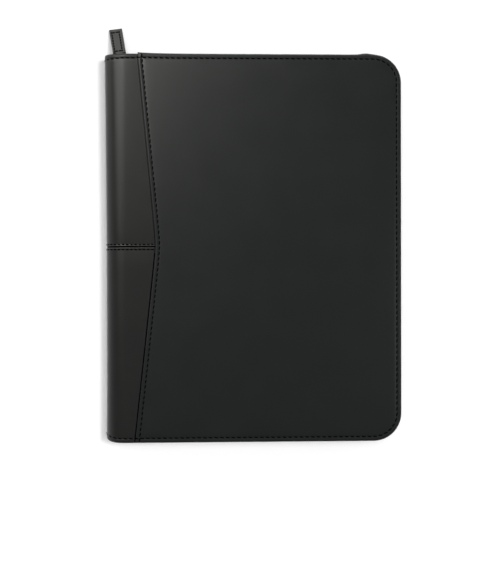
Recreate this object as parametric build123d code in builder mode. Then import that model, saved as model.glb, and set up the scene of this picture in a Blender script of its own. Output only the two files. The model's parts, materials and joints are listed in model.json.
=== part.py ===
from build123d import *
import math
import os

os.makedirs("parts", exist_ok=True)

# Zippered padfolio, closed, lying on its back cover. Millimetres.
# The origin is the centre of the back cover's resting face. +X points to the fore edge, so the
# spine is at -X, +Y points to the edge with the pull tab, and +Z points up out of the front cover.

# Writing pad that the case is made to hold
pad_width = 216.0
pad_length = 279.0
pad_backing_thickness = 1.0
pad_sheets_thickness = 5.2
pad_binding_thickness = 0.3
pad_binding_depth = 14.0

# Room round the pad inside the closed case, measured to the outside of the covers
pad_gutter = 25.0
pad_from_fore_edge = 9.0
pad_end_room = 24.5
closed_thickness = 24.0
fore_corner_radius = 26.0

# Layers of a cover, from the outside in
panel_leather = 1.4
wrap_leather = 0.9
foam_thickness = 0.5
board_thickness = 1.5
lining_thickness = 0.6

# Turned rim of a cover
rim_width = 6.0
rim_outer_round = 1.3
rim_inner_round = 0.8
layer_gap = 0.2

# Seam between the main panel and the spine wrap, as distances from the spine edge
front_seam_top = 27.0
front_seam_apex = 41.9
front_seam_bottom = 23.7
front_seam_apex_radius = 40.0
back_seam = 30.0
cross_seam_height = 2.1

# Spine: a half round of leather, cut at the two fold lines
spine_half_angle = 60.0
fold_gap = 0.3
spine_stiffener = 0.7
spine_lining_thickness = 0.6
spine_inner_inset = 3.0
hinge_allowance = 12.0

# Zip
tape_inset = 4.5
tape_thickness = 0.6
tape_flange_inset = 1.5
coil_width = 2.2
coil_height = 2.6
coil_row_gap = 0.7
zip_tail_back = 8.5
zip_tail_front = 21.0
stop_length = 3.0
stop_overhang = 0.4

# Zip slider
slider_from_spine = 11.0
slider_length = 12.0
slider_mouth_width = 8.8
slider_tail_width = 8.0
slider_corner_round = 1.2
slider_plate = 0.9
slider_running_gap = 0.25
slider_divider_length = 4.0
slider_divider_gap = 0.15
crown_bar = 1.8
crown_bar_round = 0.4
crown_clear_length = 6.1
crown_post = 1.25
crown_opening = 1.7
crown_outer_round = 0.8

# Pull tab: a strap folded round the crown bar and sewn to itself
pull_length = 26.5
pull_width = 10.3
pull_layer = 0.9
pull_neck_width = 5.5
pull_loop_radius = 1.3
pull_shoulder = 2.6
pull_skew = 7.5
pull_corner_round = 0.8
pull_floor_gap = 0.1

# Sleeve that the pad's backing slides into
sleeve_thickness = 0.8
sleeve_margin = 2.4
sleeve_fit = 0.3
sleeve_corner_round = 6.0
sleeve_length = 160.0

# Pen loop, an elastic band sewn to the lining
pen_bore = 9.0
pen_loop_band = 0.8
pen_loop_length = 25.0
pen_loop_from_pad = 0.7
pen_loop_height = 52.0

# Pockets sewn to the front lining
pocket_leather = 0.6
pocket_from_spine = 29.0
pocket_from_fore_edge = 10.0
pocket_from_ends = 9.0
document_pocket_length = 215.0
card_pocket_count = 3
card_pocket_width = 96.0
card_pocket_length = 88.0
card_pocket_step = 12.0
card_pocket_margin = 5.0

# Places worked out from the sizes above
cover_width = pad_gutter + pad_width + pad_from_fore_edge
cover_length = pad_length + 2 * pad_end_room
left = -cover_width / 2
right = cover_width / 2
top = cover_length / 2
middle = closed_thickness / 2
cover_depth = panel_leather + foam_thickness + board_thickness + lining_thickness
board_depth = panel_leather + foam_thickness + board_thickness
rim_depth = board_depth - tape_thickness
lining_inset = tape_inset + tape_thickness / 2 + layer_gap
board_inset = rim_width + layer_gap
plate_start = left + hinge_allowance
wrap_radius = closed_thickness / 2 - (panel_leather - wrap_leather)
spine_centre = left + wrap_radius
row_inner = coil_row_gap / 2
row_outer = coil_row_gap / 2 + coil_height
back_floor = cover_depth
front_ceiling = closed_thickness - cover_depth
zip_line = top - tape_inset
slider_x = left + slider_from_spine
seam_reach = max(front_seam_top, front_seam_apex, front_seam_bottom, back_seam) + rim_width


def save(piece, name):
    """Label a finished piece and write it."""
    piece.part.label = name
    export_step(piece.part, f"parts/{name}.step")


def cover_outline(height, start, inset):
    """Plan outline of a cover, drawn in by inset, from the line x = start to the fore edge."""
    end = right - inset
    with BuildSketch(Plane.XY.offset(height)) as outline:
        with Locations(((start + end) / 2, 0)):
            Rectangle(end - start, 2 * (top - inset))
        fillet(outline.vertices().group_by(Axis.X)[-1], fore_corner_radius - inset)
    return outline.sketch


def edge_band(height, start, outer_inset, inner_inset):
    """Plan outline of a strip that follows the zipped edges, open at the spine."""
    with BuildSketch(Plane.XY.offset(height)) as band:
        add(cover_outline(0, start, outer_inset))
        add(cover_outline(0, start - rim_width, inner_inset), mode=Mode.SUBTRACT)
    return band.sketch


def fore_side_of_seam(side):
    """Plan region on the fore-edge side of a cover's seam, larger than the cover elsewhere."""
    reach = top + rim_width
    with BuildSketch() as region:
        with BuildLine():
            if side == "front":
                apex = (left + front_seam_apex, cross_seam_height)
                rise = (front_seam_top - front_seam_apex) / (top - cross_seam_height)
                fall = (front_seam_bottom - front_seam_apex) / (top + cross_seam_height)
                upper_end = (apex[0] + rise * (reach - apex[1]), reach)
                lower_end = (apex[0] + fall * (reach + apex[1]), -reach)
                seam = FilletPolyline(upper_end, apex, lower_end, radius=front_seam_apex_radius)
            else:
                seam = Line((left + back_seam, reach), (left + back_seam, -reach))
            far = right + rim_width
            Polyline(seam @ 1, (far, -reach), (far, reach), seam @ 0)
        make_face()
    return region.sketch


def turn_to_back():
    """Turn a piece drawn on the front cover over to the back cover."""
    mirror(about=Plane.XY.offset(middle), mode=Mode.REPLACE)


# Main panels. The leather is turned down round three sides, which leaves a rim over the zip tape.
for side in ("front", "back"):
    with BuildPart() as panel:
        extrude(cover_outline(closed_thickness - rim_depth, plate_start, 0), amount=rim_depth)
        outer_edges = panel.faces().sort_by(Axis.Z)[-1].edges().sort_by(Axis.X)[1:]
        fillet(outer_edges, rim_outer_round)
        under_edges = panel.faces().sort_by(Axis.Z)[0].edges().sort_by(Axis.X)[1:]
        fillet(under_edges, rim_inner_round)
        hollow = cover_outline(closed_thickness - rim_depth, left, rim_width)
        extrude(hollow, amount=rim_depth - panel_leather, mode=Mode.SUBTRACT)
        extrude(fore_side_of_seam(side), amount=closed_thickness, mode=Mode.INTERSECT)
        if side == "back":
            turn_to_back()
    save(panel, f"{side}_panel")

# Spine wrap on each cover: it rolls off the spine, lies flat up to the seam and is turned down at
# both ends. The cross seam parts it into an upper and a lower piece.
fold_angle = math.degrees(fold_gap / wrap_radius)
roll_angle = 90 - spine_half_angle - fold_angle
cross_seam = Plane.XZ.offset(-cross_seam_height)
for side in ("front", "back"):
    for half, kept in (("upper", Keep.BOTTOM), ("lower", Keep.TOP)):
        with BuildPart() as wrap:
            with BuildSketch(Plane.XZ):
                with BuildLine():
                    inner_radius = wrap_radius - wrap_leather
                    outer_roll = CenterArc((spine_centre, middle), wrap_radius, 90, roll_angle)
                    inner_roll = CenterArc((spine_centre, middle), inner_radius, 90, roll_angle)
                    Line(outer_roll @ 1, inner_roll @ 1)
                    flat_end = left + seam_reach
                    Polyline(
                        outer_roll @ 0,
                        (flat_end, middle + wrap_radius),
                        (flat_end, middle + inner_radius),
                        inner_roll @ 0,
                    )
                make_face()
            extrude(amount=top, both=True)
            turned_ends = edge_band(closed_thickness - rim_depth, plate_start, 0, rim_width)
            extrude(turned_ends, amount=rim_depth - panel_leather)
            extrude(fore_side_of_seam(side), amount=closed_thickness, mode=Mode.SUBTRACT)
            split(bisect_by=cross_seam, keep=kept)
            if side == "back":
                turn_to_back()
        save(wrap, f"{side}_wrap_{half}")


def spine_shell(outer_radius, thickness):
    """Cross-section of one layer of the half-round spine, between the two fold lines."""
    with BuildSketch(Plane.XZ) as section:
        with BuildLine():
            sweep = 2 * spine_half_angle
            begin = 180 - spine_half_angle
            outside = CenterArc((spine_centre, middle), outer_radius, begin, sweep)
            inside = CenterArc((spine_centre, middle), outer_radius - thickness, begin, sweep)
            Line(outside @ 0, inside @ 0)
            Line(outside @ 1, inside @ 1)
        make_face()
    return section.sketch


# Spine: the wrap's middle stretch, a thin stiffener and the lining.
for half, kept in (("upper", Keep.BOTTOM), ("lower", Keep.TOP)):
    with BuildPart() as spine_wrap:
        extrude(spine_shell(wrap_radius, wrap_leather), amount=top, both=True)
        split(bisect_by=cross_seam, keep=kept)
    save(spine_wrap, f"spine_wrap_{half}")

with BuildPart() as stiffener:
    stiffener_radius = wrap_radius - wrap_leather
    extrude(spine_shell(stiffener_radius, spine_stiffener), amount=top - spine_inner_inset, both=True)
save(stiffener, "spine_stiffener")

with BuildPart() as spine_lining:
    lining_radius = wrap_radius - wrap_leather - spine_stiffener
    extrude(
        spine_shell(lining_radius, spine_lining_thickness),
        amount=top - spine_inner_inset,
        both=True,
    )
save(spine_lining, "spine_lining")

# Foam, board and lining of each cover, stacked under the leather.
for side in ("front", "back"):
    with BuildPart() as foam:
        foam_level = closed_thickness - panel_leather - foam_thickness
        extrude(cover_outline(foam_level, plate_start, board_inset), amount=foam_thickness)
        if side == "back":
            turn_to_back()
    save(foam, f"{side}_foam")

    with BuildPart() as board:
        board_level = closed_thickness - board_depth
        extrude(cover_outline(board_level, plate_start, board_inset), amount=board_thickness)
        if side == "back":
            turn_to_back()
    save(board, f"{side}_board")

    with BuildPart() as lining:
        extrude(cover_outline(front_ceiling, plate_start, lining_inset), amount=lining_thickness)
        if side == "back":
            turn_to_back()
    save(lining, f"{side}_lining")

# Zip tapes and coil rows. Each tape has a flange sewn under the cover's rim and a leg that stands
# across the edge, with its coil row along the middle of the case.
for side, tail in (("front", zip_tail_front), ("back", zip_tail_back)):
    leg_outer = tape_inset - tape_thickness / 2
    leg_inner = tape_inset + tape_thickness / 2
    with BuildPart() as tape:
        flange_level = closed_thickness - board_depth
        flange = edge_band(flange_level, left + tail, tape_flange_inset, leg_inner)
        extrude(flange, amount=tape_thickness)
        leg = edge_band(middle + row_outer, left + tail, leg_outer, leg_inner)
        extrude(leg, amount=flange_level - middle - row_outer)
        if side == "back":
            turn_to_back()
    save(tape, f"zip_tape_{side}")

    with BuildPart() as coil:
        coil_band = edge_band(
            middle + row_inner, left + tail, tape_inset - coil_width / 2, tape_inset + coil_width / 2
        )
        extrude(coil_band, amount=coil_height)
        if side == "back":
            turn_to_back()
    save(coil, f"zip_coil_{side}")

    # End stop crimped at the far end of the row, beside the spine on the lower edge.
    with BuildPart() as stop:
        stop_height = coil_height + stop_overhang
        with Locations((left + tail - stop_length / 2, -zip_line, middle + row_inner + stop_height / 2)):
            Box(stop_length, coil_width + 2 * stop_overhang, stop_height)
        fillet(stop.edges().filter_by(Axis.X), stop_overhang)
        if side == "back":
            turn_to_back()
    save(stop, f"zip_stop_{side}")

# Zip slider: two plates with side flanges that wrap the coil rows, a thin divider between the rows
# at the leading end, and a crown on the outer plate for the pull tab.
cavity_half_depth = coil_width / 2 + slider_running_gap
plate_face = zip_line + cavity_half_depth + slider_plate
bar_line = plate_face + crown_opening + crown_bar / 2
with BuildPart() as slider:
    with BuildSketch(Plane.XZ.offset(-zip_line)):
        with BuildLine():
            mouth = slider_x + slider_length / 2
            tail_end = slider_x - slider_length / 2
            Polyline(
                (mouth, middle - slider_mouth_width / 2),
                (mouth, middle + slider_mouth_width / 2),
                (tail_end, middle + slider_tail_width / 2),
                (tail_end, middle - slider_tail_width / 2),
                close=True,
            )
        make_face()
    extrude(amount=cavity_half_depth + slider_plate, both=True)
    fillet(slider.edges().filter_by(Axis.Y), slider_corner_round)
    with Locations((slider_x, zip_line, middle)):
        cavity_height = 2 * (row_outer + slider_running_gap)
        Box(slider_length, 2 * cavity_half_depth, cavity_height, mode=Mode.SUBTRACT)
        tape_slot = tape_thickness + 2 * slider_running_gap
        Box(slider_length, tape_slot, slider_mouth_width, mode=Mode.SUBTRACT)
    with Locations((mouth - slider_corner_round - slider_divider_length / 2, zip_line, middle)):
        Box(slider_divider_length, 2 * cavity_half_depth, coil_row_gap - 2 * slider_divider_gap)
    with BuildSketch(Plane.XY.offset(middle)):
        crown_length = crown_clear_length + 2 * crown_post
        crown_height = crown_opening + crown_bar
        with Locations((slider_x, plate_face + crown_height / 2)):
            crown_face = Rectangle(crown_length, crown_height)
        fillet(crown_face.vertices().group_by(Axis.Y)[-1], crown_outer_round)
        with Locations((slider_x, plate_face + crown_opening / 2)):
            Rectangle(crown_clear_length, crown_opening, mode=Mode.SUBTRACT)
    extrude(amount=crown_bar / 2, both=True)
    bar_edges = slider.edges().filter_by(Axis.X).filter_by_position(
        Axis.Y, plate_face + crown_opening / 2, plate_face + crown_height
    )
    fillet(bar_edges, crown_bar_round)
save(slider, "slider_body")

# Pull tab, hanging from the crown bar until its tip lies on the table. It is skewed in its own plane.
pull_droop = math.asin((middle - pull_layer - pull_floor_gap) / pull_length)
along_pull = (0, math.cos(pull_droop), -math.sin(pull_droop))
across_pull = (0, math.sin(pull_droop), math.cos(pull_droop))
crown_point = (slider_x, bar_line, middle)
pull_side = Plane(origin=crown_point, x_dir=along_pull, z_dir=(1, 0, 0))
pull_face = Plane(origin=crown_point, x_dir=(1, 0, 0), z_dir=across_pull)
with BuildPart() as pull:
    with BuildSketch(pull_side):
        Circle(pull_loop_radius + pull_layer)
        Circle(pull_loop_radius, mode=Mode.SUBTRACT)
    extrude(amount=pull_neck_width / 2, both=True)
    with BuildSketch(pull_face):
        neck_start = pull_loop_radius + pull_layer / 2
        with Locations((0, (neck_start + pull_shoulder) / 2 + pull_layer / 2)):
            Rectangle(pull_neck_width, pull_shoulder - neck_start + pull_layer)
        with Locations(Location((0, 0), pull_skew)):
            with Locations((0, (pull_shoulder + pull_length) / 2)):
                strap = Rectangle(pull_width, pull_length - pull_shoulder)
        fillet(strap.vertices(), pull_corner_round)
    extrude(amount=pull_layer, both=True)
save(pull, "pull_tab")

# Writing pad: a card backing on the lining, the sheets over the sleeve, and a binding strip that
# closes the top end. The sleeve is sewn to the lining round three sides of the backing.
pad_centre = left + pad_gutter + pad_width / 2
pad_top = pad_length / 2
sheets_level = back_floor + pad_backing_thickness + sleeve_thickness
with BuildPart() as backing:
    with Locations((pad_centre, 0, back_floor + pad_backing_thickness / 2)):
        Box(pad_width, pad_length, pad_backing_thickness)
save(backing, "pad_backing")

with BuildPart() as sheets:
    with Locations((pad_centre, 0, sheets_level + pad_sheets_thickness / 2)):
        Box(pad_width, pad_length, pad_sheets_thickness)
save(sheets, "pad_sheets")

with BuildPart() as binding:
    with BuildSketch(Plane.YZ.offset(pad_centre)):
        with BuildLine():
            sheets_top = sheets_level + pad_sheets_thickness
            Polyline(
                (pad_top, back_floor),
                (pad_top + pad_binding_thickness, back_floor),
                (pad_top + pad_binding_thickness, sheets_top + pad_binding_thickness),
                (pad_top - pad_binding_depth, sheets_top + pad_binding_thickness),
                (pad_top - pad_binding_depth, sheets_top),
                (pad_top, sheets_top),
                close=True,
            )
        make_face()
    extrude(amount=pad_width / 2, both=True)
save(binding, "pad_binding")

with BuildPart() as sleeve:
    sleeve_width = pad_width + 2 * (sleeve_fit + sleeve_margin)
    sleeve_bottom = -pad_top - sleeve_fit - sleeve_margin
    sleeve_height = pad_backing_thickness + sleeve_thickness
    with Locations((pad_centre, sleeve_bottom + sleeve_length / 2, back_floor + sleeve_height / 2)):
        Box(sleeve_width, sleeve_length, sleeve_height)
    fillet(sleeve.edges().filter_by(Axis.Z).group_by(Axis.Y)[0], sleeve_corner_round)
    room_length = sleeve_length - sleeve_margin
    room_middle = sleeve_bottom + sleeve_margin + room_length / 2
    with Locations((pad_centre, room_middle, back_floor + pad_backing_thickness / 2)):
        Box(pad_width + 2 * sleeve_fit, room_length, pad_backing_thickness, mode=Mode.SUBTRACT)
save(sleeve, "pad_sleeve")

# Pen loop: a flattened elastic ring standing on the lining in the gutter beside the pad.
with BuildPart() as pen_loop:
    with BuildSketch(Plane.XZ.offset(-pen_loop_height)):
        loop_outside = pen_bore + 2 * pen_loop_band
        loop_centre = left + pad_gutter - pen_loop_from_pad - loop_outside / 2
        with Locations((loop_centre, back_floor + loop_outside / 2)):
            RectangleRounded(loop_outside, loop_outside, pen_bore / 3 + pen_loop_band)
            RectangleRounded(pen_bore, pen_bore, pen_bore / 3, mode=Mode.SUBTRACT)
    extrude(amount=pen_loop_length / 2, both=True)
save(pen_loop, "pen_loop")

# Document pocket over the lower part of the front lining, with stepped card pockets sewn on it.
pocket_left = left + pocket_from_spine
pocket_bottom = -top + pocket_from_ends
with BuildPart() as document_pocket:
    pocket_width = right - pocket_from_fore_edge - pocket_left
    with BuildSketch(Plane.XY.offset(front_ceiling - pocket_leather)) as pocket_outline:
        with Locations((pocket_left + pocket_width / 2, pocket_bottom + document_pocket_length / 2)):
            Rectangle(pocket_width, document_pocket_length)
        lower_right = pocket_outline.vertices().group_by(Axis.Y)[0].sort_by(Axis.X)[-1]
        fillet(lower_right, fore_corner_radius - pocket_from_ends)
    extrude(amount=pocket_leather)
save(document_pocket, "document_pocket")

for index in range(card_pocket_count):
    with BuildPart() as card_pocket:
        level = front_ceiling - pocket_leather * (index + 2)
        length = card_pocket_length - card_pocket_step * index
        bottom = pocket_bottom + card_pocket_margin
        card_middle = pocket_left + card_pocket_margin + card_pocket_width / 2
        with Locations((card_middle, bottom + length / 2, level + pocket_leather / 2)):
            Box(card_pocket_width, length, pocket_leather)
    save(card_pocket, f"card_pocket_{index + 1}")

# Fold lines. At these two lines the half-round leather opens flat with its length kept.
fold_inset = wrap_radius * (1 - math.pi / 4)
fold_x = left + fold_inset
back_fold_z = middle - wrap_radius + fold_inset
front_fold_z = middle + wrap_radius - fold_inset
print(f"spine fold at x {fold_x:.3f}, z {back_fold_z:.3f}; cover fold at z {front_fold_z:.3f}")
print(f"crown bar at x {slider_x:.3f}, y {bar_line:.3f}, z {middle:.3f}")
print(f"pull droop {math.degrees(pull_droop):.2f} degrees")
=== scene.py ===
import json
import math
import random

import bmesh
import bpy
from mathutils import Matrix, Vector


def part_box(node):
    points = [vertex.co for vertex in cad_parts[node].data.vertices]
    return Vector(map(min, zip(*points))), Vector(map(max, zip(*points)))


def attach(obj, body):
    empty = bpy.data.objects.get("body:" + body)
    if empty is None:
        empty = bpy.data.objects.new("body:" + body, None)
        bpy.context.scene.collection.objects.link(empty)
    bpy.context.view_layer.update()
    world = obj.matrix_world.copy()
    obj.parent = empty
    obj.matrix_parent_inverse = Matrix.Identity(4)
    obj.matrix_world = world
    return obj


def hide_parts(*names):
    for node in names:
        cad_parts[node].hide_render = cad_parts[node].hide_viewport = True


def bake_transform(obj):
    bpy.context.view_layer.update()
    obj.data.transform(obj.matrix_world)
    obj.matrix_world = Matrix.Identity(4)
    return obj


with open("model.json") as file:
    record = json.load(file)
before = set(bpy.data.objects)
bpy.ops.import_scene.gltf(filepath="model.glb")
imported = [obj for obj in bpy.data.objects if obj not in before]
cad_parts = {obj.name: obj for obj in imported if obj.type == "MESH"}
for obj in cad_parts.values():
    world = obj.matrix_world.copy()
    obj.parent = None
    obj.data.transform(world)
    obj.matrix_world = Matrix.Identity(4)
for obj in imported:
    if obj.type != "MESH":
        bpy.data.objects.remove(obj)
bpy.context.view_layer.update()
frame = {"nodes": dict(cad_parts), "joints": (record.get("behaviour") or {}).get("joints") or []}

# Camera. It looks straight down on the closed case from a little left of its middle and about a
# metre up, as in the photograph.
MM = 0.001
camera_place = (-41.91, -24.67, 978.04)
camera_turn = (-0.773, -2.289, -0.175)
focal_pixels = 1129.57
image_height_pixels = 586
sensor_height = 36.0
lens = bpy.data.cameras.new("camera")
lens.sensor_width = sensor_height
lens.lens = focal_pixels * sensor_height / image_height_pixels
camera = bpy.data.objects.new("camera", lens)
camera.location = [value * MM for value in camera_place]
camera.rotation_euler = [math.radians(angle) for angle in camera_turn]
bpy.context.scene.collection.objects.link(camera)
bpy.context.scene.camera = camera


# Boards and padding inside the covers. Grey bookbinding board is pressed from waste paper, with a
# skin of thin grey foam on its outer face; both are sealed in by the leatherette and the lining.
def linear(code):
    """The linear colour of an sRGB hex code."""
    channels = [int(code[start:start + 2], 16) / 255 for start in (0, 2, 4)]
    curved = [c / 12.92 if c <= 0.04045 else ((c + 0.055) / 1.055) ** 2.4 for c in channels]
    return (*curved, 1.0)


def node(tree, kind, sockets=None, **settings):
    """Adds a node with its settings, and fills or links its inputs."""
    made = tree.nodes.new(kind)
    for name, value in settings.items():
        setattr(made, name, value)
    for socket, value in (sockets or {}).items():
        if isinstance(value, bpy.types.NodeSocket):
            tree.links.new(value, made.inputs[socket])
        else:
            made.inputs[socket].default_value = value
    return made


def new_material(name):
    """An empty material and its node tree."""
    material = bpy.data.materials.new(name)
    material.use_nodes = True
    material.node_tree.nodes.clear()
    return material, material.node_tree


def fibre_board(name, dark, light, fleck, roughness):
    """Pressed paper fibre: matt, with flecks about one fleck length across."""
    material, tree = new_material(name)
    place = node(tree, "ShaderNodeTexCoord").outputs["Object"]
    flecks = node(tree, "ShaderNodeTexNoise", {"Vector": place, "Scale": 1 / (fleck * MM), "Detail": 6.0})
    tint = node(tree, "ShaderNodeMix", {
        "Factor": flecks.outputs["Fac"], "A": linear(dark), "B": linear(light),
    }, data_type="RGBA")
    bump = node(tree, "ShaderNodeBump", {
        "Height": flecks.outputs["Fac"], "Strength": 0.4, "Distance": 0.1 * MM,
    })
    surface = node(tree, "ShaderNodeBsdfPrincipled", {
        "Base Color": tint.outputs["Result"], "Roughness": roughness, "Normal": bump.outputs["Normal"],
    })
    node(tree, "ShaderNodeOutputMaterial", {"Surface": surface.outputs["BSDF"]})
    return material


def dress(node_name, material):
    """Gives a carried-over CAD node its finish."""
    slots = frame["nodes"][node_name].data.materials
    slots.clear()
    slots.append(material)


def node_box(node_name):
    """The lowest and highest corners of a CAD node, in millimetres."""
    return [[value / MM for value in corner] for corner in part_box(node_name)]


def loft(rings, ends="capped"):
    """Points and faces of a skin over rings of points, with its ends capped, open or joined."""
    size = len(rings[0])
    points = [point for ring in rings for point in ring]
    faces = []
    for ring in range(len(rings) if ends == "joined" else len(rings) - 1):
        near = ring * size
        far = (near + size) % len(points)
        for index in range(size):
            following = (index + 1) % size
            faces.append((near + index, near + following, far + following, far + index))
    if ends == "capped":
        faces.append(tuple(range(size)))
        faces.append(tuple(range(len(points) - size, len(points))))
    return points, faces


def make_piece(name, points, faces, material):
    """A mesh object from points in millimetres, its faces turned outwards, smooth but for its end caps."""
    mesh = bpy.data.meshes.new(name)
    mesh.from_pydata([[value * MM for value in point] for point in points], [], faces)
    shaped = bmesh.new()
    shaped.from_mesh(mesh)
    bmesh.ops.recalc_face_normals(shaped, faces=shaped.faces)
    for face in shaped.faces:
        face.smooth = len(face.verts) <= 4
        if not face.smooth:
            for edge in face.edges:
                edge.smooth = False
    shaped.to_mesh(mesh)
    shaped.free()
    mesh.materials.append(material)
    piece = bpy.data.objects.new(name, mesh)
    bpy.context.scene.collection.objects.link(piece)
    return piece


def rounded_plan(low, high, radii, inset):
    """Points round a rectangle, drawn in by inset; radii go from the upper right corner clockwise."""
    least_bend = 0.05
    corner_steps = 8
    corners = ((high[0], high[1], 90), (high[0], low[1], 0), (low[0], low[1], -90), (low[0], high[1], 180))
    points = []
    for (corner_x, corner_y, first), radius in zip(corners, radii):
        bend = max(least_bend, radius - inset)
        side_x = 1 if corner_x == high[0] else -1
        side_y = 1 if corner_y == high[1] else -1
        centre_x = corner_x - side_x * (inset + bend)
        centre_y = corner_y - side_y * (inset + bend)
        for index in range(corner_steps + 1):
            angle = math.radians(first - 90 * index / corner_steps)
            points.append((centre_x + bend * math.cos(angle), centre_y + bend * math.sin(angle)))
    return points


def flat_piece(name, low, high, radii, section, material):
    """A thin flat piece with a rounded edge, from its section of (inset, height) pairs."""
    rings = []
    for inset, height in section:
        rings.append([(x, y, height) for x, y in rounded_plan(low, high, radii, inset)])
    return make_piece(name, *loft(rings), material)


greyboard = fibre_board("greyboard", "6f6a62", "8c867c", 1.6, 0.85)
padding_foam = fibre_board("padding_foam", "5c5c5c", "6e6e6e", 0.8, 0.9)
foam_corners = (19.8, 19.8, 0.5, 0.5)
foam_clearance = 0.06
for side in ("front", "back"):
    dress(f"{side}_board", greyboard)
    low, high = node_box(f"{side}_foam")
    base, face = low[2] + foam_clearance, high[2] - foam_clearance
    section = (
        (0.6, base), (0.1, base + 0.05), (0.0, base + 0.15),
        (0.0, face - 0.15), (0.1, face - 0.05), (0.6, face),
    )
    pad = flat_piece(f"{side}_padding", low, high, foam_corners, section, padding_foam)
    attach(pad, f"{side}_cover")
    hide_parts(f"{side}_foam")


# Cover panels. Smooth black leatherette is drawn over the padded board, turned under round three
# edges and topstitched; its fourth edge is folded and laps over the spine wrap. The front lap is a
# shallow V, the back one straight.
right, top, thickness = node_box("front_panel")[1]
left = -right
corner_radius = 23.8
front_lap_top = -98.6
front_lap_apex = (-83.4, 2.1)
front_lap_bottom = -101.9
front_lap_softness = 8.0
back_lap = left + 30.0
lap_end_reach = 6.0
lap_row_drawn_in = 0.6
lap_draw_rise = 3.0
lap_draw_hold = 6.0
lap_draw_fall = 10.0
lap_bulge = 1.1
lap_bulge_fade = 16.0
lap_bulge_depth = 9.0
crown_height = 0.4
crown_start = 2.0
crown_reach = 30.0
stitch_pitch = 4.8
lap_pitch = 4.5
stitch_inset = 3.95
stitch_dimple = 0.06
groove_half_width = 0.7
back_groove = 0.3
thread_lift = 0.1
thread_width = 1.1
thread_height = 0.8
floor_gap = 0.03
corner_gather = 1.0
gather_place = 95.0
gather_reach = 5.0
gather_depth = 3.0
gather_fade = 1.2
ring_step = stitch_pitch / 4

# Section of the turned edge and of the folded lap: how far in from the edge, and how deep below the
# cover's face at the turned edge and at the lap.
panel_section = (
    (6.5, 1.45, 0.92), (6.5, 2.70, 0.92), (3.5, 2.80, 0.92), (1.5, 2.72, 0.92), (0.7, 2.45, 0.90),
    (0.25, 1.95, 0.80), (0.0, 1.40, 0.50), (0.05, 0.85, 0.22), (0.3, 0.45, 0.04), (0.7, 0.22, -0.06),
    (1.3, 0.08, -0.12), (2.0, 0.02, -0.12), (2.8, 0.03, -0.06), (3.4, 0.12, 0.02), (stitch_inset, 0.20, 0.10),
    (4.5, 0.12, 0.04), (5.2, 0.03, 0.0), (6.5, -0.03, -0.03), (9.0, -0.05, -0.05),
    (12.0, -0.05, -0.05), (16.0, -0.05, -0.05), (21.0, -0.05, -0.05),
)
section_edge = 6
field_shares = (0.86, 0.7, 0.52, 0.34, 0.16)


def ease(value):
    """A smooth step from 0 to 1."""
    share = min(1.0, max(0.0, value))
    return share * share * (3 - 2 * share)


def between(first, second, share):
    """The number that far from first to second."""
    return first + (second - first) * share


def front_lap(y):
    """Where the front panel's lapped edge is, at a height along the spine."""
    rise = (front_lap_top - front_lap_apex[0]) / (top - front_lap_apex[1])
    fall = (front_lap_apex[0] - front_lap_bottom) / (top + front_lap_apex[1])
    step = y - front_lap_apex[1]
    rounding = math.hypot(step, front_lap_softness) - front_lap_softness
    return front_lap_apex[0] + (rise + fall) / 2 * step - (fall - rise) / 2 * rounding


def straight_lap(y):
    """Where the back panel's lapped edge is."""
    return back_lap


def lap_reach(inset):
    """How far from the lapped edge a ring runs; its stitch row lies nearer the edge than the others do."""
    drawn = ease(inset / lap_draw_rise) * (1 - ease((inset - lap_draw_hold) / lap_draw_fall))
    return inset - lap_row_drawn_in * drawn


def edge_run(inset, start, finish, step, radius=corner_radius):
    """Plan points from a start on the top edge, round the fore edge, to a finish on the bottom edge."""
    high = top - inset
    flat_end = right - radius
    level_end = top - radius
    bend = radius - inset
    edge_steps = round((flat_end - left) / step)
    bend_steps = round(radius * math.pi / 2 / step)
    fore_steps = round(2 * level_end / step)
    run = []
    for index in range(edge_steps):
        run.append((between(start, flat_end, index / edge_steps), high))
    for index in range(bend_steps):
        angle = math.pi / 2 * (1 - index / bend_steps)
        run.append((flat_end + bend * math.cos(angle), level_end + bend * math.sin(angle)))
    for index in range(fore_steps):
        run.append((right - inset, between(level_end, -level_end, index / fore_steps)))
    for index in range(bend_steps):
        angle = -math.pi / 2 * index / bend_steps
        run.append((flat_end + bend * math.cos(angle), -level_end + bend * math.sin(angle)))
    for index in range(edge_steps + 1):
        run.append((between(flat_end, finish, index / edge_steps), -high))
    return run


def pushed_out(x, y, inset, lap):
    """A plan point of a panel, pushed out by the lap's thick end and by the gather at the upper corner."""
    near = math.exp(-max(0.0, x - lap(y) - inset) / lap_bulge_fade)
    bulge = lap_bulge * near * max(0.0, 1 - (top - y) / lap_bulge_depth)
    if y > top - gather_depth:
        gathered = math.exp(-((x - gather_place) / gather_reach) ** 2)
        bulge += corner_gather * gathered * (1 - ease(inset / gather_fade))
    return (x, y + bulge)


def panel_ring(inset, lap):
    """Plan points round a panel, drawn in by inset, with how much of a lap each one is."""
    high = top - inset
    run = edge_run(inset, lap(high) + lap_reach(inset), lap(-high) + lap_reach(inset), ring_step)
    ring = [(*pushed_out(x, y, inset, lap), 0.0) for x, y in run]
    lap_steps = round(2 * top / ring_step)
    for index in range(1, lap_steps):
        y = between(-high, high, index / lap_steps)
        place = pushed_out(lap(y) + lap_reach(inset), y, inset, lap)
        ring.append((*place, ease((high - abs(y)) / lap_end_reach)))
    return ring, len(run)


def section_depth(inset, lapped):
    """How deep a panel's leather is below the cover's face, at a distance from the edge."""
    rows = panel_section[section_edge:]
    for near, far in zip(rows, rows[1:]):
        if inset <= far[0]:
            share = (inset - near[0]) / (far[0] - near[0])
            return between(between(near[1], far[1], share), between(near[2], far[2], share), lapped)
    return between(rows[-1][1], rows[-1][2], lapped)


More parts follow.
